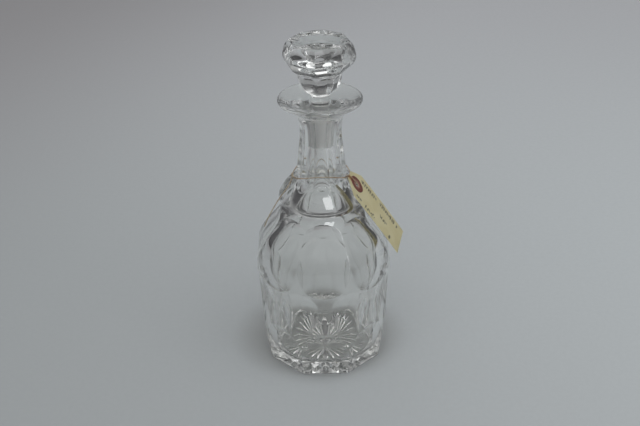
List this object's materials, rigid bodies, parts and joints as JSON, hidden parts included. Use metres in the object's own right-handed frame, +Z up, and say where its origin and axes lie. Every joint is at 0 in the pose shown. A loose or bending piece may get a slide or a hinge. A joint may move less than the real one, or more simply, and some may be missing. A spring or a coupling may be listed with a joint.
{
  "type": "cut crystal decanter",
  "caption": "Cut glass decanter with flat-panelled sides, a star-cut eight-sided foot, a ringed and fluted neck, a faceted lift-out stopper and a blank paper tag on twine.",
  "frame": {"origin": "centre of the foot, on the plane that the decanter stands on", "axes": "+Z up along the axis of the decanter, -Y towards the front flat of the foot, +X towards the tag"},
  "size_m": [0.1188, 0.108, 0.2725],
  "materials": {
    "crystal_body": "polished clear crystal, ground inside the neck where the stopper seats",
    "crystal_stopper": "polished clear crystal, ground matt on the plug",
    "twine": "thin two-ply twine, matt",
    "manila_card": "uncoated buff manila card, matt",
    "patch_paper": "red-brown gummed paper, matt"
  },
  "bodies": {
    "decanter": {"decanter_body": "crystal_body"},
    "stopper": {"stopper": "crystal_stopper"},
    "string": {"tag_string": "twine"},
    "tag": {"tag_card": "manila_card", "tag_patch_front": "patch_paper", "tag_patch_back": "patch_paper", "tag_hitch": "twine"}
  },
  "joints": [
    {"name": "stopper_lift", "type": "slide", "parent": "decanter", "child": "stopper", "axis": [0, 0, 1], "range_m": [0, 0.06]},
    {"name": "string_turn", "type": "hinge", "parent": "decanter", "child": "string", "pos_m": [0, 0, 0.165], "axis": [0, 0, 1], "continuous": true},
    {"name": "tag_swing", "type": "hinge", "parent": "string", "child": "tag", "pos_m": [0.01905, -0.011, 0.163], "axis": [-0.1908, -0.9816, 0], "range_deg": [0, 65]}
  ]
}
